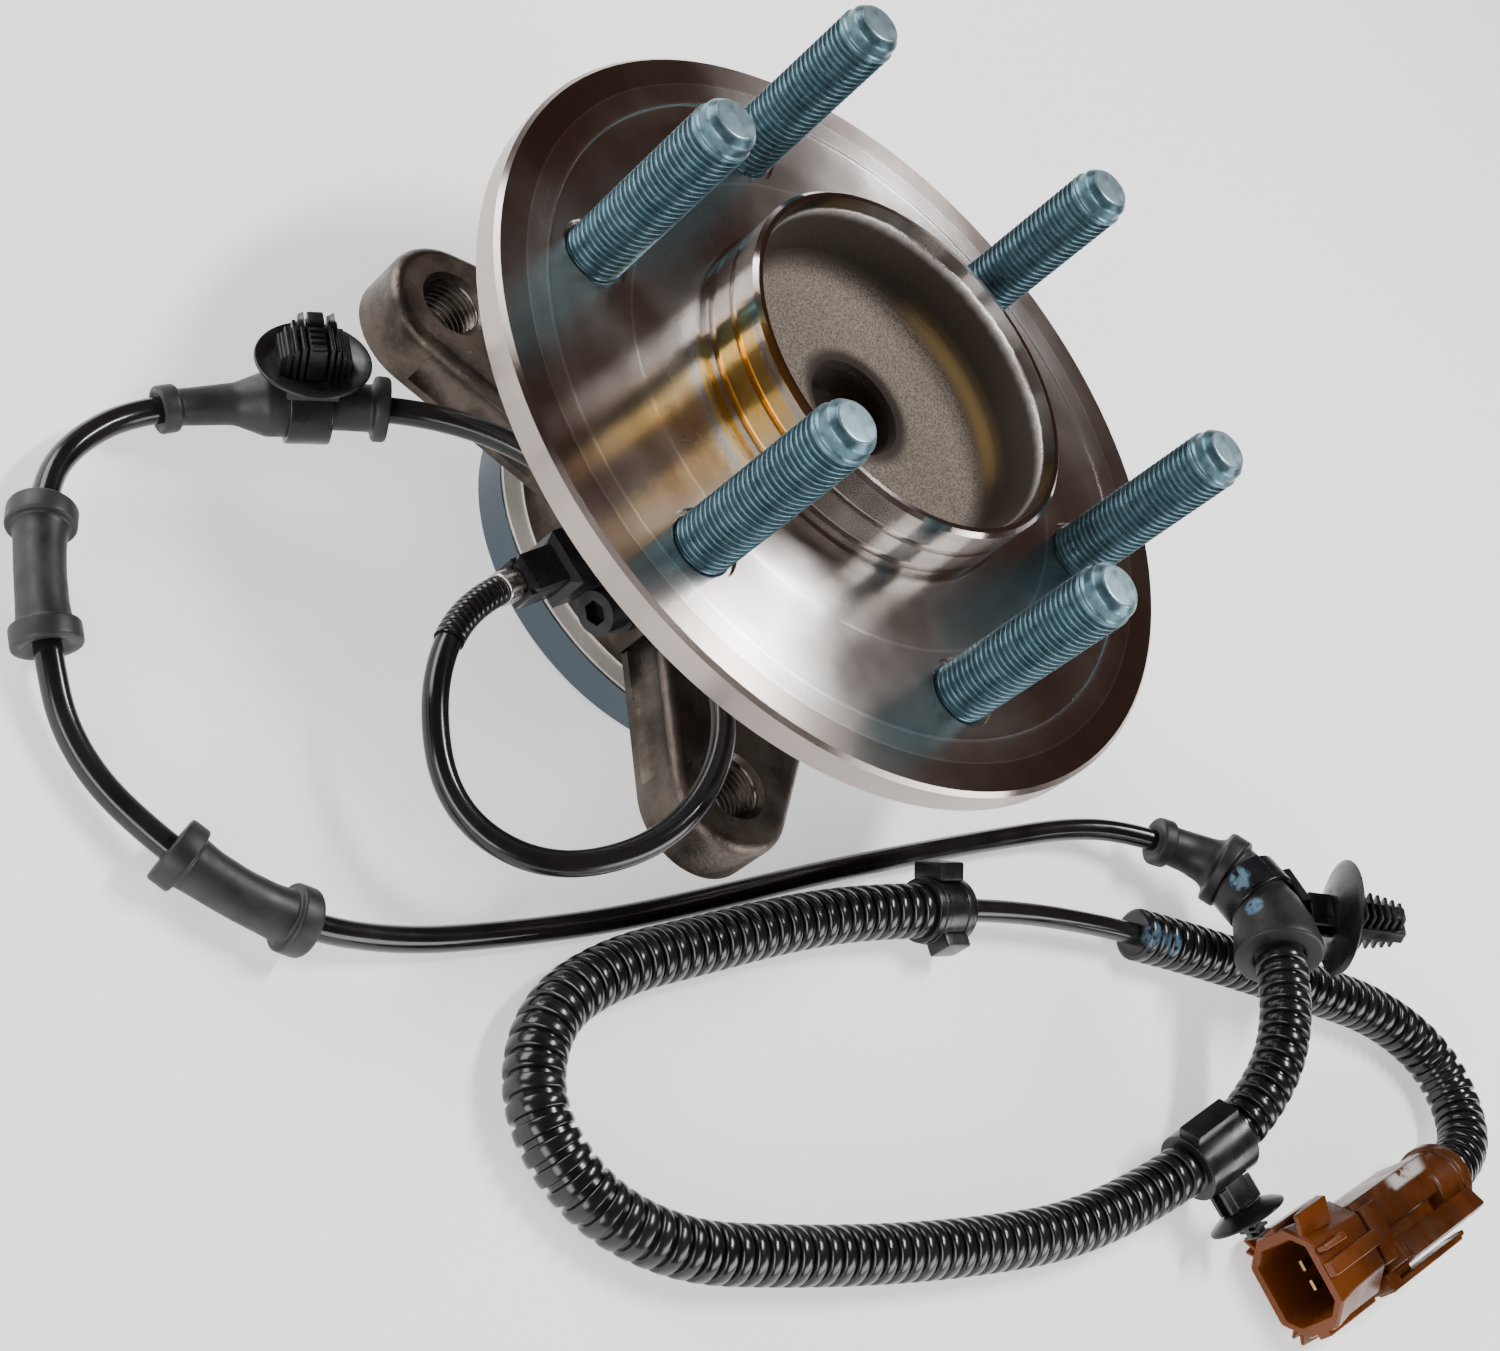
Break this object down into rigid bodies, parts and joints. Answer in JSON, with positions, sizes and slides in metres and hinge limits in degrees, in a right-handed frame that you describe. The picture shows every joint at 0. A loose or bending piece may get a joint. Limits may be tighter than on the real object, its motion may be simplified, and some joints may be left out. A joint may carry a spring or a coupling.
{
  "type": "wheel hub bearing",
  "caption": "Flanged wheel hub on a double-row ball bearing with a four-eared outer ring, wheel studs and a speed sensor whose harness ends in a plug.",
  "frame": {"origin": "on the hub axis, in the plane of the knuckle pilot's inboard face, which the part stands on", "axes": "+Z along the hub axis, outboard; -Y to the sensor side"},
  "size_m": [0.3375, 0.3567, 0.1186],
  "materials": {
    "machined_steel": "turned",
    "forged_steel": "forged and oiled",
    "zinc_blue": "blue zinc plate",
    "bearing_steel": "ground",
    "seal_steel": "pressed",
    "seal_rubber": "matte",
    "black_plastic": "moulded",
    "black_bolt": "black oxide",
    "cable_jacket": "glossy",
    "grommet_rubber": "matte",
    "conduit_plastic": "corrugated",
    "connector_brown": "moulded",
    "terminal_tin": "tinned",
    "cage_polyamide": "glass-filled"
  },
  "bodies": {
    "root": {"outer_ring": "forged_steel", "seal_case_outboard": "seal_steel", "seal_case_inboard": "seal_steel", "seal_lip_outboard": "seal_rubber", "seal_lip_inboard": "seal_rubber", "speed_sensor": "black_plastic", "sensor_oring": "seal_rubber", "sensor_bushing": "seal_steel", "sensor_bolt": "black_bolt", "sensor_cable": "cable_jacket", "bracket_grommet": "grommet_rubber", "bracket_clip": "black_plastic", "spool_grommet_a": "grommet_rubber", "spool_grommet_b": "grommet_rubber", "conduit_boot": "grommet_rubber", "boot_clip": "black_plastic", "long_conduit": "conduit_plastic", "conduit_clip": "black_plastic", "conduit_end_clip": "black_plastic", "link_cable": "cable_jacket", "short_conduit": "conduit_plastic", "connector_housing": "connector_brown", "connector_lock": "connector_brown", "connector_terminals": "terminal_tin"},
    "hub": {"wheel_hub": "machined_steel", "wheel_studs": "zinc_blue", "inner_ring": "bearing_steel", "tone_ring": "seal_steel", "slinger_outboard": "seal_steel", "slinger_inboard": "seal_steel"},
    "outboard_row": {"balls_outboard": "bearing_steel", "cage_outboard": "cage_polyamide"},
    "inboard_row": {"balls_inboard": "bearing_steel", "cage_inboard": "cage_polyamide"}
  },
  "joints": [
    {"name": "hub_spin", "type": "hinge", "parent": "root", "child": "hub", "pos_m": [0, 0, 0.03], "axis": [0, 0, 1], "continuous": true},
    {"name": "outboard_row_spin", "type": "hinge", "parent": "root", "child": "outboard_row", "pos_m": [0, 0, 0.044], "axis": [0, 0, 1], "continuous": true},
    {"name": "inboard_row_spin", "type": "hinge", "parent": "root", "child": "inboard_row", "pos_m": [0, 0, 0.015], "axis": [0, 0, 1], "continuous": true}
  ],
  "couplings": [
    {"joint": "outboard_row_spin", "follows": "hub_spin", "ratio": 0.4187},
    {"joint": "inboard_row_spin", "follows": "hub_spin", "ratio": 0.4187}
  ]
}
